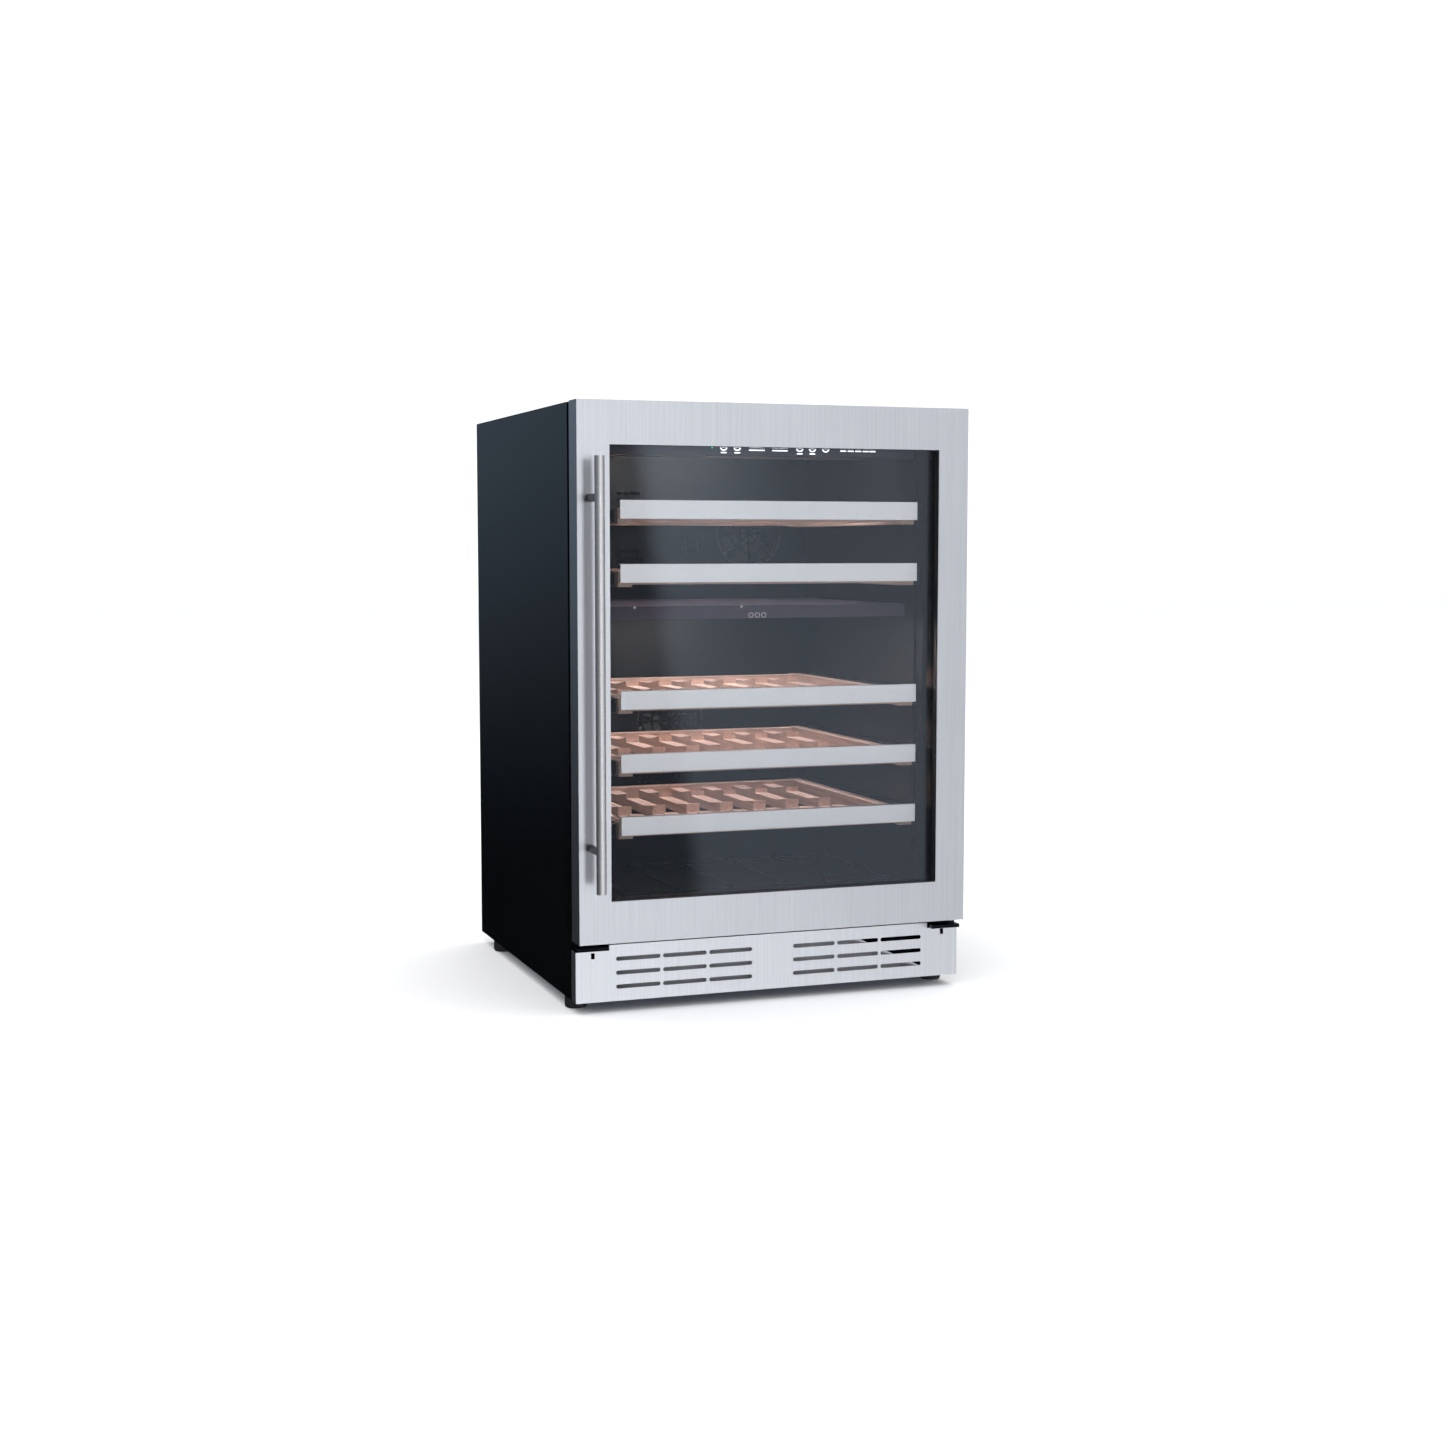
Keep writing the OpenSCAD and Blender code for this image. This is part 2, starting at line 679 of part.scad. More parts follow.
// flanged bushes in the door's lower and upper corner
module hinge_bushes() color("#dcdcd4")
  difference() {
    union() {
      rod_z(hinge_x, hinge_y, door_z0 - 2.6, door_z0 - 0.1, bush_r + 1);
      rod_z(hinge_x, hinge_y, door_z0 - 0.2, door_z0 + 20, bush_r);
      rod_z(hinge_x, hinge_y, height - 31.9, height - 11, bush_r);
      rod_z(hinge_x, hinge_y, height - 11, height - 8.3, bush_r + 1);
    }
    rod_z(hinge_x, hinge_y, door_z0 - 4, height, pin_r + run_fit);
  }

// ---------- shelves ----------

// side view of a slat: level, with a notch before the first of two ramps that hold a bottle
module slat_profile(top) {
  y0 = wood_y + rail_w + 0.1;
  y1 = shelf_back - rail_w - 0.1;
  level = top - slat_drop;
  polygon([
    [y0, level - slat_t], [y0, level],
    [notch_y0, level], [notch_y0, level - notch_h], [ramp_y[0], level - notch_h],
    [ramp_y[0], level + ramp_h[0]], [ramp_end[0], level],
    [ramp_y[1], level], [ramp_y[1], level + ramp_h[1]], [ramp_end[1], level],
    [y1, level], [y1, level - slat_t]
  ]);
}

module slat(x, top)
  translate([x + slat_w / 2, 0, 0]) rotate([90, 0, -90]) mirror([1, 0, 0])
    linear_extrude(height = slat_w) slat_profile(top);

module shelf_wood(i) color("#d9ab78") {
  top = shelf_top(i);
  sx = shelf_w / 2;
  pitch = (shelf_w - rail_w) / (slat_n + 1);
  both_sides() block(sx - rail_w, sx, wood_y, shelf_back, top - strip_h - 6.3, top - 10.5);
  block(-sx + rail_w + 0.1, sx - rail_w - 0.1, wood_y, wood_y + rail_w,
        top - strip_h - 3, top - slat_drop);
  block(-sx + rail_w + 0.1, sx - rail_w - 0.1, shelf_back - rail_w, shelf_back,
        top - strip_h - 4.5, top - 11.5);
  for (k = [1 : slat_n]) slat(-sx + rail_w / 2 + k * pitch, top);
}

module shelf_strip(i) color("#c6cad0")
  difference() {
    block(-shelf_w / 2, shelf_w / 2, strip_y, wood_y - 0.1, shelf_top(i) - strip_h, shelf_top(i));
    block(-shelf_w / 2 - 1, shelf_w / 2 + 1, strip_y + sheet_t, wood_y + 1,
          shelf_top(i) - strip_h + sheet_t, shelf_top(i) - sheet_t);
  }

// ---------- feet ----------

module foot(x, y) color("#0b0c0d") {
  translate([x, y, 0]) rotate_extrude() union() {
    square([foot_d / 2 - 4, 10]);
    translate([0, 4]) square([foot_d / 2, 12]);
    translate([foot_d / 2 - 4, 4]) circle(r = 4);
  }
  rod_z(x, y, 10, 54, stud_d / 2);
}

module foot_front_left() foot(-foot_x, foot_y0);
module foot_front_right() foot(foot_x, foot_y0);
module foot_rear_left() foot(-foot_x, foot_y1);
module foot_rear_right() foot(foot_x, foot_y1);

left_side_panel();
right_side_panel();
top_panel();
back_panel();
machine_cover();
foam_insulation();
inner_liner();
base_pan();
duct_covers();
evaporators();
fan_frames();
upper_fan_rotor();
lower_fan_rotor();
condenser();
condenser_fan_frame();
condenser_fan_rotor();
compressor();
compressor_grommets();
drip_tray();
refrigerant_pipes();
control_box();
mains_gland();
zone_divider();
control_housing();
touch_glass();
light_bars();
fixed_slides();
bottom_rack();
kick_grille();
lower_hinge_brackets();
upper_hinge_bracket();
cabinet_screws();
door_skin();
door_frame();
outer_glass();
glass_spacer();
inner_glass();
door_gasket();
handle_bar();
handle_posts();
hinge_bushes();
shelf_wood(1);  // shelf_1_wood
shelf_wood(2);  // shelf_2_wood
shelf_wood(3);  // shelf_3_wood
shelf_wood(4);  // shelf_4_wood
shelf_wood(5);  // shelf_5_wood
shelf_strip(1);  // shelf_1_strip
shelf_strip(2);  // shelf_2_strip
shelf_strip(3);  // shelf_3_strip
shelf_strip(4);  // shelf_4_strip
shelf_strip(5);  // shelf_5_strip
shelf_runners(1);  // shelf_1_runners
shelf_runners(2);  // shelf_2_runners
shelf_runners(3);  // shelf_3_runners
shelf_runners(4);  // shelf_4_runners
shelf_runners(5);  // shelf_5_runners
foot_front_left();
foot_front_right();
foot_rear_left();
foot_rear_right();
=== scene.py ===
"""Looks of the dual-zone wine cooler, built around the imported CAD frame. Metres; +Z up, the door faces -Y."""
import json
import math

import bmesh
import bpy
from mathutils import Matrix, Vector


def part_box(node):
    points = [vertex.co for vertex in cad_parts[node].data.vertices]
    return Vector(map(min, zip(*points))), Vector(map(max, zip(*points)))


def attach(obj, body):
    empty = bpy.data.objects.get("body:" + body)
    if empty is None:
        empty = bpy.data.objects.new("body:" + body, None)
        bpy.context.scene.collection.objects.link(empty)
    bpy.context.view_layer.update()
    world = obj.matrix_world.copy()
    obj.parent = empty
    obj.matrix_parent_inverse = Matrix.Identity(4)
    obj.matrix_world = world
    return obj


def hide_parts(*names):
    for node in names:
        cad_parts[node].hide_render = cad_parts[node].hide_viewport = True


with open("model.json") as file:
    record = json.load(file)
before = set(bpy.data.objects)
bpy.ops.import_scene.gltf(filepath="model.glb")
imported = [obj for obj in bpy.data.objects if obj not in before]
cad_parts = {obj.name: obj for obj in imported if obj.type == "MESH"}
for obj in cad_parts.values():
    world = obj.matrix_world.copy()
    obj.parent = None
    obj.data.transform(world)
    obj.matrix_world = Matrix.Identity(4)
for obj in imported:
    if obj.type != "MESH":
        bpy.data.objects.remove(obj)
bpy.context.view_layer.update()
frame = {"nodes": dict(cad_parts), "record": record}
nodes = frame["nodes"]
slot_of = {s["node"]: s["material_slot"] for s in frame["record"]["subparts"]}

MM = 0.001


# ---------- node helpers ----------

def start(name, colour, roughness, metallic=0.0):
    """A new material, its tree and Principled node, and a node for Object coordinates."""
    material = bpy.data.materials.new(name)
    material.use_nodes = True
    tree = material.node_tree
    shader = tree.nodes["Principled BSDF"]
    shader.inputs["Base Color"].default_value = (*colour, 1)
    shader.inputs["Roughness"].default_value = roughness
    shader.inputs["Metallic"].default_value = metallic
    place = tree.nodes.new("ShaderNodeTexCoord")
    return material, tree, shader, place


def noise(tree, place, stretch, scale=1.0, detail=4.0, roughness=0.55):
    """Noise over Object coordinates, stretched by a number for each axis."""
    mapping = tree.nodes.new("ShaderNodeMapping")
    mapping.inputs["Scale"].default_value = stretch
    tree.links.new(place.outputs["Object"], mapping.inputs["Vector"])
    texture = tree.nodes.new("ShaderNodeTexNoise")
    texture.inputs["Scale"].default_value = scale
    texture.inputs["Detail"].default_value = detail
    texture.inputs["Roughness"].default_value = roughness
    tree.links.new(mapping.outputs["Vector"], texture.inputs["Vector"])
    return texture.outputs["Fac"]


def ramp(tree, value, stops):
    """A colour ramp: stops are (position, colour)."""
    node = tree.nodes.new("ShaderNodeValToRGB")
    first, last = node.color_ramp.elements
    first.position, first.color = stops[0][0], (*stops[0][1], 1)
    last.position, last.color = stops[-1][0], (*stops[-1][1], 1)
    for position, colour in stops[1:-1]:
        node.color_ramp.elements.new(position).color = (*colour, 1)
    tree.links.new(value, node.inputs["Fac"])
    return node.outputs["Color"]


def spread(tree, value, low, high):
    """Noise between 0.3 and 0.7 mapped to low and high."""
    node = tree.nodes.new("ShaderNodeMapRange")
    node.inputs["From Min"].default_value = 0.3
    node.inputs["From Max"].default_value = 0.7
    node.inputs["To Min"].default_value = low
    node.inputs["To Max"].default_value = high
    tree.links.new(value, node.inputs["Value"])
    return node.outputs["Result"]


def bump(tree, shader, value, height, strength=0.4):
    node = tree.nodes.new("ShaderNodeBump")
    node.inputs["Distance"].default_value = height
    node.inputs["Strength"].default_value = strength
    tree.links.new(value, node.inputs["Height"])
    tree.links.new(node.outputs["Normal"], shader.inputs["Normal"])


def maths(tree, operation, a, b=None):
    node = tree.nodes.new("ShaderNodeMath")
    node.operation = operation
    tree.links.new(a, node.inputs[0])
    if b is not None:
        tree.links.new(b, node.inputs[1])
    return node.outputs[0]


def compare(tree, operation, value, limit):
    """1 where value is LESS_THAN or GREATER_THAN the limit, 0 elsewhere."""
    node = tree.nodes.new("ShaderNodeMath")
    node.operation = operation
    node.inputs[1].default_value = limit
    tree.links.new(value, node.inputs[0])
    return node.outputs[0]


def separated(tree, vector):
    """The X, Y and Z outputs of a vector."""
    node = tree.nodes.new("ShaderNodeSeparateXYZ")
    tree.links.new(vector, node.inputs[0])
    return node.outputs["X"], node.outputs["Y"], node.outputs["Z"]


def product(tree, *values):
    """The values multiplied one after another."""
    result = values[0]
    for value in values[1:]:
        result = maths(tree, "MULTIPLY", result, value)
    return result


def colour_mix(tree, factor, a, b, blend="MIX"):
    """Colour a where factor is 0 and b where it is 1; each may be an output or a fixed colour."""
    mix = tree.nodes.new("ShaderNodeMix")
    mix.data_type = "RGBA"
    mix.blend_type = blend
    for name, value in (("Factor", factor), ("A", a), ("B", b)):
        if isinstance(value, bpy.types.NodeSocket):
            tree.links.new(value, mix.inputs[name])
        elif name == "Factor":
            mix.inputs[name].default_value = value
        else:
            mix.inputs[name].default_value = (*value, 1)
    return mix.outputs["Result"]


def mapped(tree, value, low, high, to_low, to_high):
    """A smooth step of value from low to high, as to_low to to_high."""
    node = tree.nodes.new("ShaderNodeMapRange")
    node.interpolation_type = "SMOOTHSTEP"
    for name, number in zip(("From Min", "From Max", "To Min", "To Max"), (low, high, to_low, to_high)):
        node.inputs[name].default_value = number
    tree.links.new(value, node.inputs["Value"])
    return node.outputs["Result"]


def scaled(tree, value, factor, offset=0.0):
    """value times factor, plus offset."""
    node = tree.nodes.new("ShaderNodeMath")
    node.operation = "MULTIPLY_ADD"
    node.inputs[1].default_value = factor
    node.inputs[2].default_value = offset
    tree.links.new(value, node.inputs[0])
    return node.outputs[0]


# ---------- materials ----------

LOW_IN_CAVITY = (0.25, 0.42)      # heights between which the painted shade low in the cavity fades out
LINER_MOUTH = (-0.2, -0.194)      # depths between which painted shade turns the liner black towards the door
LAMP_STEP = (0.65, 0.70)          # heights that part the lower lamp from the upper one


def widen(tree, shader, amount):
    """Spread the gloss sideways, as upright brushing does."""
    shader.inputs["Anisotropic"].default_value = amount
    tangent = tree.nodes.new("ShaderNodeTangent")
    tangent.direction_type = "RADIAL"
    tangent.axis = "Z"
    tree.links.new(tangent.outputs[0], shader.inputs["Tangent"])


def brushed(name, dark, light, grain, rough, sideways=0.0, low_shade=1.0):
    """Metal with fine streaks: grain stretches the noise, least along the brushing.
    sideways widens the gloss across upright streaks; low_shade darkens what lies low in the cavity, as painted
    shade."""
    material, tree, shader, place = start(name, light, rough[0], 1.0)
    if sideways:
        widen(tree, shader, sideways)
    streaks = noise(tree, place, grain, detail=6.0, roughness=0.7)
    cloud = noise(tree, place, (9, 9, 9), detail=2.0)
    streaky, cloudy = scaled(tree, streaks, 0.75), spread(tree, cloud, 0.09, 0.16)
    colour = ramp(tree, maths(tree, "ADD", streaky, cloudy), [(0.3, dark), (0.7, light)])
    if low_shade != 1.0:
        # painted shade: the colour darkens low in the cavity, by height alone
        height = separated(tree, place.outputs["Object"])[2]
        tint = mapped(tree, height, *LOW_IN_CAVITY, low_shade, 1.0)
        colour = colour_mix(tree, 1.0, colour, tint, "MULTIPLY")
    tree.links.new(colour, shader.inputs["Base Color"])
    tree.links.new(spread(tree, streaks, *rough), shader.inputs["Roughness"])
    bump(tree, shader, streaks, 0.00006, 0.25)
    return material


def satin_bar(name):
    """Turned steel with fine rings round the bar. Its back is painted dark, as a stand-in for the
    door's shade there, which the real steel doesn't have."""
    material, tree, shader, place = start(name, (0.72, 0.715, 0.71), 0.2, 1.0)
    rings = noise(tree, place, (60, 60, 1700), detail=6.0, roughness=0.7)
    polished = ramp(tree, rings, [(0.3, (0.62, 0.612, 0.605)), (0.7, (0.80, 0.795, 0.79))])
    back = mapped(tree, separated(tree, place.outputs["Normal"])[1], 0.1, 0.75, 0.0, 1.0)
    # near black on the bar's back, where it faces the door: painted shade, not the steel's colour
    painted_back_shade = (0.03, 0.032, 0.038)
    tree.links.new(colour_mix(tree, back, polished, painted_back_shade), shader.inputs["Base Color"])
    tree.links.new(spread(tree, rings, 0.34, 0.4), shader.inputs["Roughness"])
    widen(tree, shader, 0.9)
    bump(tree, shader, rings, 0.00005, 0.2)
    return material


def painted(name, dark, light, rough, specular=0.5, grain=900.0, tint=(1, 1, 1)):
    """Sprayed coat: faint orange peel and slow changes of gloss."""
    material, tree, shader, place = start(name, dark, rough[0])
    shader.inputs["Specular IOR Level"].default_value = specular
    shader.inputs["Specular Tint"].default_value = (*tint, 1)
    cloud = noise(tree, place, (7, 7, 7), detail=3.0)
    peel = noise(tree, place, (grain, grain, grain), detail=2.0)
    tree.links.new(ramp(tree, cloud, [(0.35, dark), (0.65, light)]), shader.inputs["Base Color"])
    tree.links.new(spread(tree, cloud, *rough), shader.inputs["Roughness"])
    bump(tree, shader, peel, 0.00005, 0.2)
    return material


def moulded(name, dark, light, rough, grain=1600.0, specular=0.5, dark_mouth=False):
    """Plastic with a fine moulded texture. dark_mouth darkens it in front of the shelves, as a
    stand-in for the shade there."""
    material, tree, shader, place = start(name, dark, rough[0])
    shader.inputs["Specular IOR Level"].default_value = specular
    cloud = noise(tree, place, (5, 5, 5), detail=3.0)
    texture = noise(tree, place, (grain, grain, grain), detail=3.0)
    colour = ramp(tree, cloud, [(0.3, dark), (0.7, light)])
    if dark_mouth:
        depth = separated(tree, place.outputs["Object"])[1]
        # painted shade: black in the liner's mouth, in front of the shelves
        colour = colour_mix(tree, mapped(tree, depth, *LINER_MOUTH, 0.15, 1.0), (0.0, 0.0, 0.0), colour)
    tree.links.new(colour, shader.inputs["Base Color"])
    tree.links.new(spread(tree, texture, *rough), shader.inputs["Roughness"])
    bump(tree, shader, texture, 0.00008, 0.3)
    return material


def beech(name):
    """Pale wood: grain runs front to back in the slats and side rails, and across in the two cross rails."""
    material, tree, shader, place = start(name, (0.62, 0.4, 0.22), 0.55)
    shader.inputs["Specular IOR Level"].default_value = 0.3
    lengthwise = noise(tree, place, (330, 9, 330), detail=5.0, roughness=0.65)
    across = noise(tree, place, (9, 330, 330), detail=5.0, roughness=0.65)
    pores = noise(tree, place, (900, 45, 900), detail=2.0)
    mix = tree.nodes.new("ShaderNodeMix")
    tree.links.new(cross_rail_mask(tree, place), mix.inputs["Factor"])
    tree.links.new(lengthwise, mix.inputs["A"])
    tree.links.new(across, mix.inputs["B"])
    colours = [(0.28, (0.60, 0.385, 0.30)), (0.5, (0.78, 0.57, 0.48)), (0.72, (0.91, 0.73, 0.65))]
    tree.links.new(ramp(tree, mix.outputs["Result"], colours), shader.inputs["Base Color"])
    tree.links.new(spread(tree, pores, 0.45, 0.62), shader.inputs["Roughness"])
    bump(tree, shader, pores, 0.00015, 0.35)
    return material


def cross_rail_mask(tree, place):
    """1 in a shelf's front and back rail, 0 elsewhere."""
    low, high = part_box("shelf_1_wood")
    rail = 20.6 * MM
    x, y, _ = separated(tree, place.outputs["Object"])
    inner = compare(tree, "LESS_THAN", maths(tree, "ABSOLUTE", x), high.x - rail)
    front = compare(tree, "LESS_THAN", y, low.y + rail)
    back = compare(tree, "GREATER_THAN", y, high.y - rail)
    return product(tree, maths(tree, "MAXIMUM", front, back), inner)


def pane_glass(name):
    """Clear low-e pane: bends and mirrors what the eye sees, and lets the lamps' light through."""
    material, tree, shader, place = start(name, (0.965, 0.97, 0.975), 0.0)
    shader.inputs["Transmission Weight"].default_value = 1.0
    shader.inputs["IOR"].default_value = 1.5
    shader.inputs["Specular Tint"].default_value = (0.75, 0.86, 1.0, 1)
    smear = noise(tree, place, (6, 6, 6), detail=2.0)
    tree.links.new(spread(tree, smear, 0.0, 0.01), shader.inputs["Roughness"])
    clear = tree.nodes.new("ShaderNodeBsdfTransparent")
    clear.inputs["Color"].default_value = (0.96, 0.965, 0.97, 1)
    path = tree.nodes.new("ShaderNodeLightPath")
    mix = tree.nodes.new("ShaderNodeMixShader")
    tree.links.new(path.outputs["Is Shadow Ray"], mix.inputs[0])
    tree.links.new(shader.outputs[0], mix.inputs[1])
    tree.links.new(clear.outputs[0], mix.inputs[2])
    tree.links.new(mix.outputs[0], tree.nodes["Material Output"].inputs["Surface"])
    return material


def lamp(name, colour, strength, upper=None):
    """A lit lens; upper is the strength of a lens above the shelf divider, if it differs."""
    material, tree, shader, place = start(name, colour, 0.4)
    shader.inputs["Emission Color"].default_value = (*colour, 1)
    shader.inputs["Emission Strength"].default_value = strength
    if upper is not None:
        height = separated(tree, place.outputs["Object"])[2]
        tree.links.new(mapped(tree, height, *LAMP_STEP, strength, upper), shader.inputs["Emission Strength"])
    cloud = noise(tree, place, (300, 300, 300), detail=2.0)
    tree.links.new(spread(tree, cloud, 0.35, 0.5), shader.inputs["Roughness"])
    return material


def make_materials():
    upright, every_way = (650, 650, 5), (500, 500, 500)
    sheet_gloss = (0.37, 0.41)
    return {
        "black_steel": painted("black_coat", (0.0020, 0.0022, 0.0028), (0.0026, 0.0028, 0.0036),
                               (0.13, 0.17), 0.3, tint=(0.72, 0.86, 1.0)),
        "grey_steel": painted("zinc_grey", (0.06, 0.062, 0.066), (0.085, 0.088, 0.092), (0.4, 0.55)),
        "stainless": brushed("brushed_steel", (0.61, 0.62, 0.645), (0.77, 0.775, 0.79), upright,
                             sheet_gloss, sideways=0.9),
        # a lighter copy of the door's brushed steel: painted light on the shelf strips
        "lit_strip_steel": brushed("lit_strip_steel", (0.87, 0.875, 0.885), (0.99, 0.99, 0.99), upright,
                               sheet_gloss, sideways=0.9, low_shade=0.95),
        # a lighter copy of the door's brushed steel: painted light on the kick grille
        "lit_grille_steel": brushed("lit_grille_steel", (0.72, 0.73, 0.75), (0.88, 0.885, 0.90), upright,
                                sheet_gloss, sideways=0.9),
        # a near black copy of the handle's steel: painted shade on the handle posts
        "shaded_post_steel": brushed("shaded_post_steel", (0.05, 0.052, 0.06), (0.09, 0.094, 0.105),
                              (900, 60, 900), (0.25, 0.35)),
        "handle_steel": satin_bar("satin_bar"),
        "slide_steel": brushed("slide_zinc", (0.05, 0.053, 0.06), (0.09, 0.095, 0.105),
                               (900, 20, 900), (0.35, 0.5)),
        "guide_steel": painted("guide_zinc", (0.36, 0.37, 0.40), (0.42, 0.43, 0.46), (0.4, 0.55)),
        "screw_steel": brushed("screw_zinc", (0.4, 0.4, 0.42), (0.6, 0.6, 0.62),
                               (700, 700, 700), (0.25, 0.4)),
        # near black, far darker than bare aluminium: painted shade where the fins lie behind louvres and covers
        "fin_aluminium": brushed("shade_dark_fins", (0.03, 0.031, 0.033), (0.05, 0.051, 0.054),
                                 (40, 900, 900), (0.45, 0.6)),
        "copper": brushed("bright_copper", (0.55, 0.25, 0.13), (0.78, 0.42, 0.25), every_way, (0.2, 0.35)),
        "cast_black": painted("pot_enamel", (0.006, 0.006, 0.007), (0.012, 0.012, 0.014), (0.15, 0.28)),
        "foam": moulded("cut_foam", (0.66, 0.58, 0.33), (0.78, 0.71, 0.46), (0.75, 0.95), 500.0),
        "liner_plastic": moulded("slate_plastic", (0.0026, 0.0032, 0.0044), (0.0034, 0.0042, 0.0056),
                                 (0.34, 0.42), specular=0.12, dark_mouth=True),
        "divider_plastic": painted("divider_face", (0.110, 0.098, 0.140), (0.125, 0.112, 0.158),
                                   (0.45, 0.55), 0.15),
        "panel_plastic": painted("smoked_panel", (0.115, 0.104, 0.135), (0.140, 0.128, 0.160),
                                 (0.08, 0.14)),
        "dark_plastic": moulded("black_plastic", (0.010, 0.010, 0.011), (0.018, 0.018, 0.020), (0.4, 0.6)),
        "frame_plastic": moulded("gloss_frame", (0.002, 0.002, 0.0025), (0.004, 0.004, 0.005),
                                 (0.08, 0.12), 2200.0, 0.25),
        "white_plastic": moulded("grey_housing", (0.55, 0.55, 0.55), (0.66, 0.66, 0.65), (0.4, 0.6)),
        "nylon": moulded("nylon_bush", (0.62, 0.62, 0.56), (0.72, 0.72, 0.66), (0.35, 0.5)),
        "rubber": moulded("soft_rubber", (0.008, 0.008, 0.009), (0.014, 0.014, 0.015),
                          (0.6, 0.8), 1100.0, 0.3),
        "lamp_plastic": lamp("lamp_lens", (1.0, 0.95, 0.90), 380.0, upper=150.0),
        "glass": pane_glass("low_e_pane"),
        "beech": beech("sanded_beech"),
    }


# ---------- CAD nodes: finish and soft edges ----------

EDGE = {  # rounding of the edges in mm; slots not named get the default
    "stainless": 0.5, "handle_steel": 0.9, "beech": 0.8, "black_steel": 0.35, "frame_plastic": 0.4,
    "dark_plastic": 0.4, "lamp_plastic": 0.3, "glass": 0.2, "white_plastic": 1.0,
}
DEFAULT_EDGE = 0.25
NO_BEVEL = {"foam_insulation", "inner_liner", "evaporators", "condenser", "refrigerant_pipes",
            "upper_fan_rotor", "lower_fan_rotor", "condenser_fan_rotor", "compressor"}

SHELVES = range(1, 6)
OWN_MATERIAL = {  # nodes with a copy of their slot's material: the strips and grille lighter, as painted light, the handle posts darker, as painted shade; the divider has its own plastic
    "kick_grille": "lit_grille_steel", "zone_divider": "divider_plastic", "handle_posts": "shaded_post_steel",
}
OWN_MATERIAL.update({f"shelf_{i}_strip": "lit_strip_steel" for i in SHELVES})


def finish_cad(materials):
    for name, obj in nodes.items():
        slot = slot_of[name]
        obj.data.materials.clear()
        obj.data.materials.append(materials[OWN_MATERIAL.get(name, slot)])
        if name in NO_BEVEL:
            continue
        edge = obj.modifiers.new("soft_edges", "BEVEL")
        edge.width = EDGE.get(slot, DEFAULT_EDGE) * MM
        edge.segments = 2
        edge.limit_method = "ANGLE"
        edge.angle_limit = math.radians(40)
        edge.use_clamp_overlap = True
        edge.harden_normals = True


# ---------- new pieces ----------

def add_piece(name, mesh, material, body):
    obj = bpy.data.objects.new(name, mesh)
    bpy.context.scene.collection.objects.link(obj)
    mesh.materials.append(material)
    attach(obj, body)
    return obj


def plate(bm, x0, x1, y0, y1, z0, z1):
    """A thin block in the mesh bm."""
    corners = [bm.verts.new((x, y, z)) for x in (x0, x1) for y in (y0, y1) for z in (z0, z1)]
    for a, b, c, d in ((0, 1, 3, 2), (4, 6, 7, 5), (0, 4, 5, 1), (2, 3, 7, 6), (0, 2, 6, 4), (1, 5, 7, 3)):
        bm.faces.new([corners[i] for i in (a, b, c, d)])


def ring(bm, x, z, y0, y1, radius, wide, steps=32):
    """A flat ring that faces -Y."""
    loops = []
    for y in (y0, y1):
        for r in (radius - wide / 2, radius + wide / 2):
            angles = [2 * math.pi * k / steps for k in range(steps)]
            loops.append([bm.verts.new((x + r * math.cos(a), y, z + r * math.sin(a))) for a in angles])
    order = [(0, 1), (1, 3), (3, 2), (2, 0)]
    for a, b in order:
        for k in range(steps):
            n = (k + 1) % steps
            bm.faces.new([loops[a][k], loops[a][n], loops[b][n], loops[b][k]])


SEGMENTS = {  # lit bars: top, upper left, upper right, middle, lower left, lower right, foot
    "1": "0010010", "2": "1011101", "8": "1111111",
}


def numeral(bm, sign, x, z, y0, y1):
    """One seven-segment numeral with its lower left corner at x, z."""
    w, h, bar = 8 * MM, 15 * MM, 1.5 * MM
    middle = (h - bar) / 2
    places = [
        (0, w, h - bar, h), (0, bar, h / 2, h), (w - bar, w, h / 2, h), (0, w, middle, middle + bar),
        (0, bar, 0, h / 2), (w - bar, w, 0, h / 2), (0, w, 0, bar),
    ]
    for lit, (a, b, c, d) in zip(SEGMENTS[sign], places):
        if lit == "1":
            plate(bm, x + a, x + b, y0, y1, z + c, z + d)


def close(bm, name):
    bmesh.ops.recalc_face_normals(bm, faces=bm.faces)
    mesh = bpy.data.meshes.new(name)
    bm.to_mesh(mesh)
    bm.free()
    return mesh


def mark(bm, middle, half, foot, y0, y1, thick):
    """A short bar centred on middle, in mm across, with its lower edge at the height foot."""
    plate(bm, (middle - half) * MM, (middle + half) * MM, y0, y1, foot, foot + thick)


def panel_marks():
    """Rings, bars, numerals and the lit dot on the touch panel, laid on its front face."""
    low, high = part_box("touch_glass")
    y0, y1 = low.y - 0.15 * MM, low.y + 0.05 * MM
    base = low.z
    stroke = 1.5 * MM
    underlined, plain, words = (-58, -37, 60, 80), 101, (129, 141, 153, 165, 176)
    readouts = ((-7, "12"), (29, "18"))
    marks = bmesh.new()
    for x in (*underlined, plain):
        ring(marks, x * MM, base + 13 * MM, y0, y1, 5.2 * MM, stroke)
    for x in underlined:
        mark(marks, x, 4.4, base + 3.6 * MM, y0, y1, stroke)
    for x in words:
        mark(marks, x, 4.6, base + 8.6 * MM, y0, y1, stroke)
    for middle, signs in readouts:
        for k, sign in enumerate(signs):
            numeral(marks, sign, (middle - 9 + 10 * k) * MM, base + 12.4 * MM, y0, y1)
        mark(marks, middle, 12, base + 7.6 * MM, y0, y1, stroke)
    ring(marks, -154 * MM, base + 13.5 * MM, y0, y1, 0.9 * MM, 1.7 * MM, 16)
    add_piece("panel_marks", close(marks, "panel_marks"), lamp("mark_white", (0.9, 0.93, 1.0), 2.2),
              "cabinet")
    dot = bmesh.new()
    ring(dot, -75.5 * MM, base + 12.3 * MM, y0, y1, 1 * MM, 1.9 * MM, 16)
    add_piece("power_dot", close(dot, "power_dot"), lamp("dot_green", (0.05, 0.75, 0.3), 1.6),
              "cabinet")


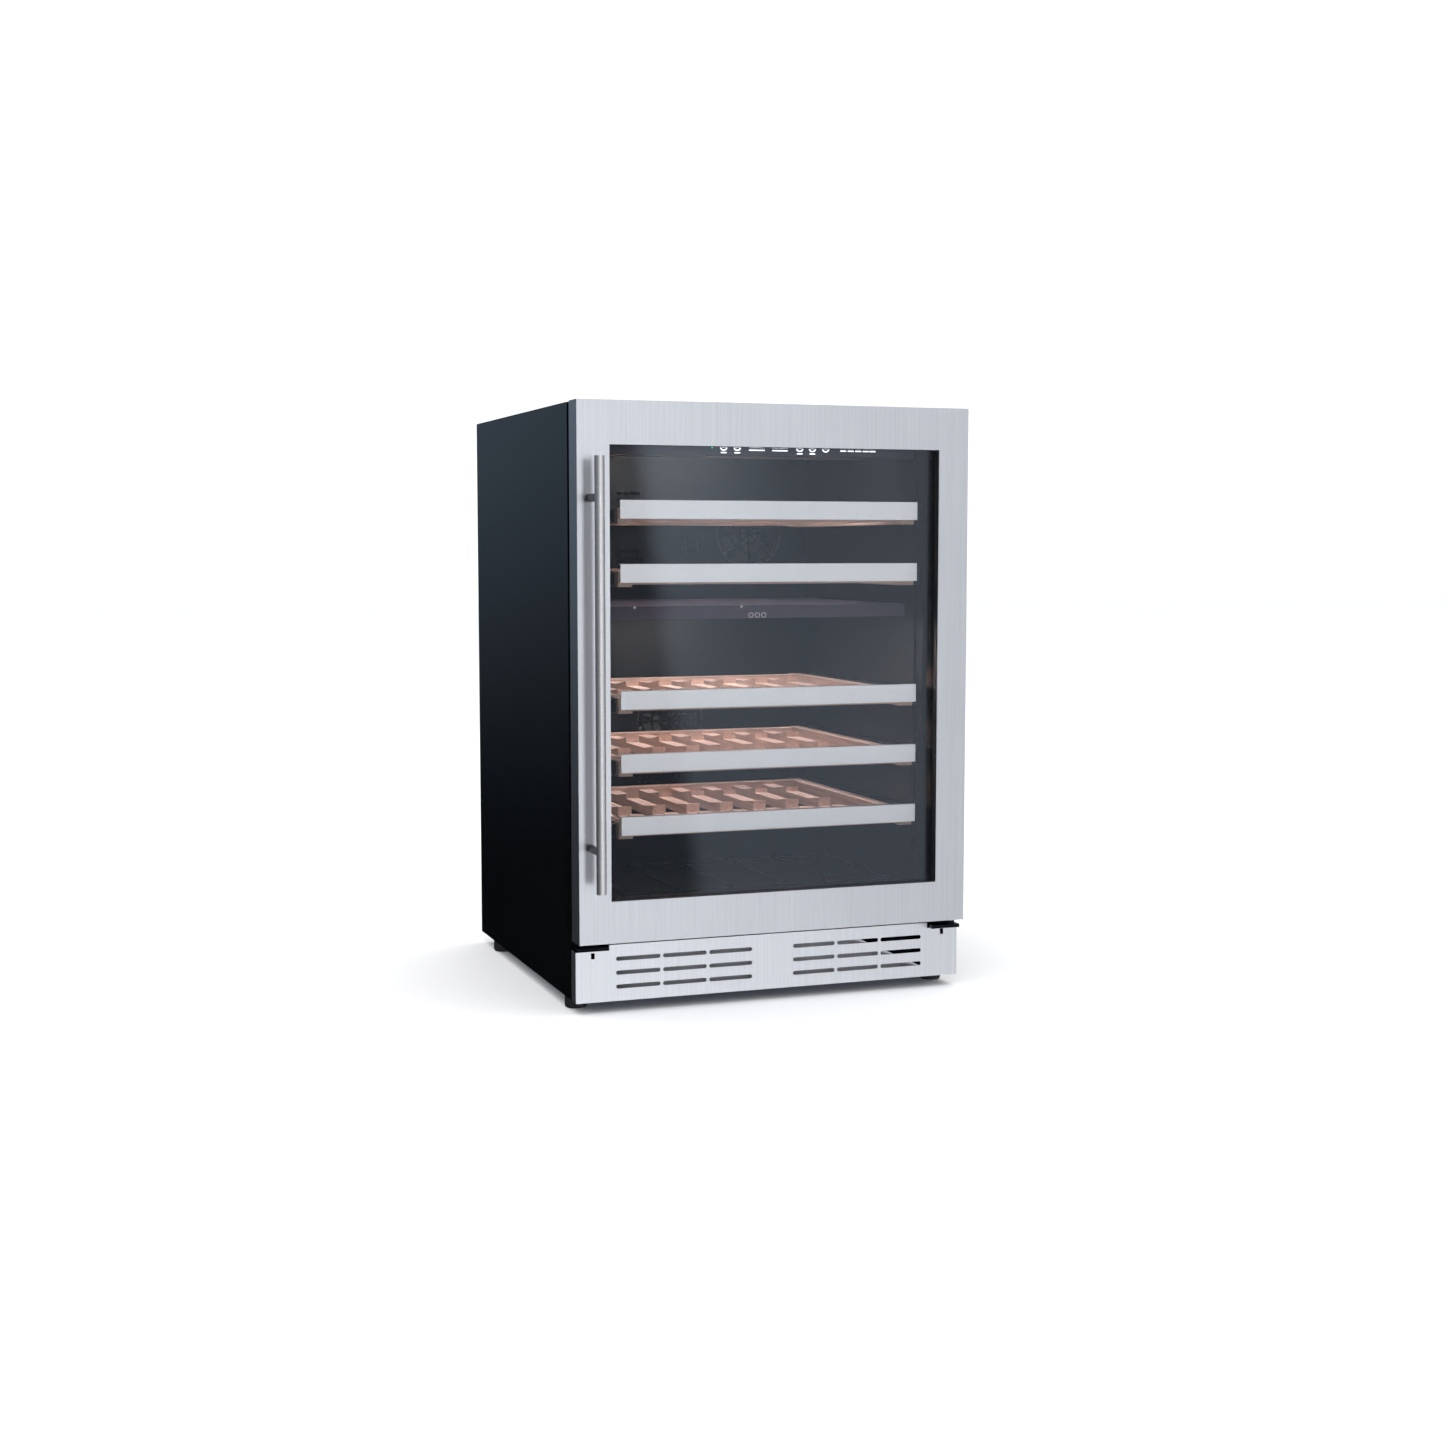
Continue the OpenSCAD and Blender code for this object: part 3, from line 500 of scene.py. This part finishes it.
def divider_marks():
    """Three faintly glowing rings at the foot of the divider's face, and two bright pips on its upper edge;
    both glow as painted light, not as lamps.
    """
    low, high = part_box("zone_divider")
    y0, y1 = low.y - 0.2 * MM, low.y + 0.05 * MM
    bm = bmesh.new()
    for x in (-3.5, 6.5, 16.5):
        ring(bm, x * MM, low.z + 4.6 * MM, y0, y1, 3.4 * MM, 0.8 * MM, 24)
    for x in (-183, -18.4):
        ring(bm, x * MM, high.z - 1.6 * MM, y0, y1, 0.9 * MM, 1.7 * MM, 16)
    # emission here is painted light: these marks are no lamps
    add_piece("divider_marks", close(bm, "divider_marks"), lamp("painted_glow_white", (0.95, 0.93, 0.97), 0.06),
              "cabinet")


def air_guide(material):
    """Folded sheet behind the kick grille: it bends forward to a slanting edge and ends there."""
    low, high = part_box("kick_grille")
    sheet_t, guide_t = 1.0 * MM, 0.8 * MM
    front = low.y + sheet_t + 0.5 * MM
    top, foot, left = high.z - 6 * MM, low.z + 6 * MM, low.x + 34 * MM
    edge_x, edge_z, slant = 142.8 * MM, 78.6 * MM, 2.1
    fold, depth = 32 * MM, 13.0 * MM
    rows = 16
    steps = [0, 0.06, 0.14, 0.24, 0.36, 0.5, 0.66, 0.83, 1.0]
    bm = bmesh.new()
    grid = []
    for r in range(rows + 1):
        z = foot + (top - foot) * r / rows
        edge = edge_x + (edge_z - z) * slant
        line = []
        for s in steps:
            bend = s * s * (3 - 2 * s)
            line.append(bm.verts.new((edge - s * fold, front + depth * bend, z)))
        line.append(bm.verts.new((left, front + depth, z)))
        grid.append(line)
    for r in range(rows):
        for k in range(len(steps)):
            a, b = grid[r], grid[r + 1]
            bm.faces.new([a[k], a[k + 1], b[k + 1], b[k]])
    for face in bm.faces:
        face.smooth = True
    guide = add_piece("air_guide", close(bm, "air_guide"), material, "cabinet")
    thick = guide.modifiers.new("sheet", "SOLIDIFY")
    thick.thickness = guide_t
    thick.offset = 0


def seal_profile():
    """Cross-section of the magnetic seal, as (in from the outer edge, out from the door), in mm."""
    outer = [(1.5, 0.0), (0.8, 1.4), (2.2, 2.6), (0.9, 4.0), (2.2, 5.3), (0.6, 6.6), (0.4, 8.6), (1.6, 9.6)]
    inner = [(11.4, 9.6), (12.6, 8.6), (12.4, 6.6), (10.8, 5.3), (12.1, 4.0), (10.8, 2.6), (12.2, 1.4),
             (11.5, 0.0)]
    return outer + inner


def door_seal(material):
    """Bellows profile carried round the door's back, in place of the plain CAD ring."""
    low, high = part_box("door_gasket")
    profile_depth = 9.7
    bm = bmesh.new()
    loops = []
    for inset, out in seal_profile():
        a, y = inset * MM, low.y + out * (high.y - low.y) / profile_depth
        x0, x1, z0, z1 = low.x + a, high.x - a, low.z + a, high.z - a
        corners = [(x0, z0), (x1, z0), (x1, z1), (x0, z1)]
        loops.append([bm.verts.new((x, y, z)) for x, z in corners])
    for k in range(len(loops)):
        a, b = loops[k], loops[(k + 1) % len(loops)]
        for c in range(4):
            n = (c + 1) % 4
            bm.faces.new([a[c], a[n], b[n], b[c]])
    seal = add_piece("magnetic_seal", close(bm, "magnetic_seal"), material, "door")
    soft = seal.modifiers.new("round", "BEVEL")
    soft.width = 0.35 * MM
    soft.segments = 2
    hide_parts("door_gasket")


# ---------- camera, floor and light ----------

FOCAL, SENSOR = 50.146, 36
EYE = (-1.057124, -2.940655, 0.658957)
LOOK_DOWN, LOOK_RIGHT = 0.087126, 0.348907
FAR = 60


def camera():
    data = bpy.data.cameras.new("camera")
    data.lens = FOCAL
    data.sensor_width = SENSOR
    data.clip_end = FAR
    obj = bpy.data.objects.new("camera", data)
    obj.location = EYE
    obj.rotation_euler = (math.pi / 2 - LOOK_DOWN, 0, -LOOK_RIGHT)
    bpy.context.scene.collection.objects.link(obj)
    bpy.context.scene.camera = obj


def floor():
    """A pale floor that takes the contact shadow but isn't mirrored and blocks no light from below."""
    bm = bmesh.new()
    bmesh.ops.create_grid(bm, x_segments=4, y_segments=4, size=20)
    mesh = close(bm, "floor")
    obj = bpy.data.objects.new("floor", mesh)
    bpy.context.scene.collection.objects.link(obj)
    material, tree, shader, place = start("pale_floor", (0.92, 0.92, 0.93), 0.9)
    shader.inputs["Specular IOR Level"].default_value = 0.1
    cloud = noise(tree, place, (2, 2, 2), detail=2.0)
    pale = [(0.3, (0.91, 0.91, 0.925)), (0.7, (0.93, 0.93, 0.94))]
    tree.links.new(ramp(tree, cloud, pale), shader.inputs["Base Color"])
    mesh.materials.append(material)
    obj.visible_glossy = False
    obj.visible_transmission = False
    obj.visible_shadow = False


def softbox(name, place, aim, size, power, colour=(1, 1, 1), mirrored=True):
    data = bpy.data.lights.new(name, "AREA")
    data.shape = "RECTANGLE"
    data.size, data.size_y = size
    data.energy = power
    data.color = colour
    obj = bpy.data.objects.new(name, data)
    obj.location = place
    obj.rotation_euler = (Vector(aim) - Vector(place)).to_track_quat("-Z", "Y").to_euler()
    obj.visible_camera = False
    obj.visible_glossy = mirrored
    bpy.context.scene.collection.objects.link(obj)
    return obj


WALL_BRIGHT, WALL_DARK = 0.46, 0.14
LEAN = 0.139                      # how far the wall's edges lean, as angle for each unit of height
POST_LEFT, POST_RIGHT = (0.272, 0.288), (0.307, 0.321)   # the dark post's two soft edges
PATCH_IN, PATCH_OUT = (0.307, 0.325), (0.33, 0.40)       # a brighter patch beside the post
GAP_EDGE = (0.4490, 0.4515)       # the wall dims behind this edge
PANEL_EDGE, PANEL = (0.50, 0.62), 1.35                   # the bright panel that lights the steel
PANEL_END, LEFT_END = (0.92, 1.0), (-1.9, -1.75)         # beyond these two the room is dark
POST_FOOT, PATCH_FOOT = (-0.14, -0.03), (-0.06, 0.04)    # heights at which these two fade out
FLOOR_LINE = (-0.205, -0.185)     # a faint band where wall and floor meet


def room_brightness(tree):
    """What gloss mirrors: a bright wall in front whose near edge leans, and a dim room behind.
    The edges are set so that the door's glass and steel look as they do at rest.
    Returns the brightness, how far in front a ray goes, and the glow from the floor."""
    place = tree.nodes.new("ShaderNodeTexCoord")
    x, y, z = separated(tree, place.outputs["Generated"])
    towards = scaled(tree, y, -1.0)
    angle = maths(tree, "ARCTAN2", x, towards)
    leaning = maths(tree, "ADD", angle, scaled(tree, z, LEAN))
    left_of_post = product(tree, mapped(tree, leaning, *POST_LEFT, 1.0, 0.0),
                           mapped(tree, z, *POST_FOOT, 0.0, 1.0))
    right_of_post = mapped(tree, leaning, *POST_RIGHT, 0.0, 1.0)
    beside_post = maths(tree, "MAXIMUM", left_of_post, right_of_post)
    wall = scaled(tree, beside_post, WALL_BRIGHT - WALL_DARK, WALL_DARK)
    wall = product(tree, wall, mapped(tree, angle, -0.3, 0.1, 0.4, 1.0),
                   mapped(tree, angle, *GAP_EDGE, 1.0, 0.2))
    wall = maths(tree, "MAXIMUM", wall, mapped(tree, angle, *PANEL_EDGE, 0.0, PANEL))
    wall = product(tree, wall, mapped(tree, angle, *PANEL_END, 1.0, 0.03),
                   mapped(tree, angle, *LEFT_END, 0.05, 1.0))
    patch = product(tree, mapped(tree, leaning, *PATCH_IN, 0.0, 1.0),
                    mapped(tree, leaning, *PATCH_OUT, 1.0, 0.0),
                    mapped(tree, z, *PATCH_FOOT, 0.0, 0.3))
    near_floor = mapped(tree, z, *FLOOR_LINE, 0.12, 0.0)
    front = maths(tree, "ADD", maths(tree, "ADD", wall, patch), near_floor)
    behind = mapped(tree, z, -0.16, 0.14, 0.006, 0.27)
    in_front = mapped(tree, towards, -0.25, 0.45, 0.0, 1.0)
    lit = product(tree, front, in_front)
    dim = product(tree, behind, scaled(tree, in_front, -1.0, 1.0))
    floor_glow = mapped(tree, z, -0.6, -0.05, 1.7, 0.0)
    return maths(tree, "ADD", lit, dim), in_front, floor_glow


def studio():
    """Even white for the camera and for diffuse light; gloss mirrors a shaped room, dimmer once the
    light has bounced, and then with a glow from the floor."""
    world = bpy.data.worlds.new("studio")
    bpy.context.scene.world = world
    world.use_nodes = True
    world.cycles.sampling_method = "NONE"
    tree = world.node_tree
    tree.nodes.clear()
    room = tree.nodes.new("ShaderNodeBackground")
    strength, in_front, floor_glow = room_brightness(tree)
    room_colour = [(0.2, (0.58, 0.78, 1.0)), (0.8, (0.91, 0.94, 1.0))]
    tree.links.new(ramp(tree, in_front, room_colour), room.inputs["Color"])
    path = tree.nodes.new("ShaderNodeLightPath")
    direct = compare(tree, "LESS_THAN", path.outputs["Diffuse Depth"], 0.5)
    bounced = scaled(tree, direct, -1.0, 1.0)
    glow = maths(tree, "MULTIPLY", bounced, floor_glow)
    seen = maths(tree, "MULTIPLY", strength, scaled(tree, direct, 0.6, 0.4))
    tree.links.new(maths(tree, "ADD", seen, glow), room.inputs["Strength"])
    white = tree.nodes.new("ShaderNodeBackground")
    white.inputs["Color"].default_value = (0.985, 0.99, 1.0, 1)
    white.inputs["Strength"].default_value = 1.14
    mix = tree.nodes.new("ShaderNodeMixShader")
    out = tree.nodes.new("ShaderNodeOutputWorld")
    tree.links.new(path.outputs["Is Glossy Ray"], mix.inputs[0])
    tree.links.new(white.outputs[0], mix.inputs[1])
    tree.links.new(room.outputs[0], mix.inputs[2])
    tree.links.new(mix.outputs[0], out.inputs[0])
    lights()
    bpy.context.scene.view_settings.view_transform = "Standard"


def light_only(light, name, objects):
    """Let the light reach these objects alone."""
    group = bpy.data.collections.new(name)
    for obj in objects:
        group.objects.link(obj)
    light.light_linking.receiver_collection = group


SHELF_GLOWS = ((0.553, 0.55), (0.423, 0.30), (0.334, 0.13))   # height and power of each


def lights():
    """A tall strip that shades the steel behind the handle, a glow over each low shelf, two fills.
    The strip reaches only steel and the glows only wood, so these aren't lights of a real studio."""
    strip = softbox("strip_light", (-0.14, -3.3, 0.45), (-0.14, 0, 0.45), (0.35, 4.2), 37,
                    (0.93, 0.955, 1.0))
    steel = [nodes[name] for name in nodes if slot_of[name] in ("stainless", "handle_steel")]
    light_only(strip, "lit_by_strip", steel)
    wood = [nodes[f"shelf_{i}_wood"] for i in SHELVES]
    for z, power in SHELF_GLOWS:
        name = f"shelf_glow_{round(z * 1000)}"
        glow = softbox(name, (0, 0.03, z), (0, 0.03, 0), (0.44, 0.36), power, (0.97, 0.96, 1.0),
                       mirrored=False)
        glow.data.spread = 0.7
        light_only(glow, f"lit_by_{name}", wood)
    softbox("top_light", (0, -0.3, 5.0), (0, 0, 0), (7, 7), 150, mirrored=False)
    softbox("front_light", (-1.2, -3.6, 2.4), (0, 0, 0.5), (1.8, 1.4), 15, (1.0, 0.97, 0.94),
            mirrored=False)


camera()
materials = make_materials()
finish_cad(materials)
panel_marks()
divider_marks()
air_guide(materials["guide_steel"])
door_seal(materials["rubber"])
floor()
studio()
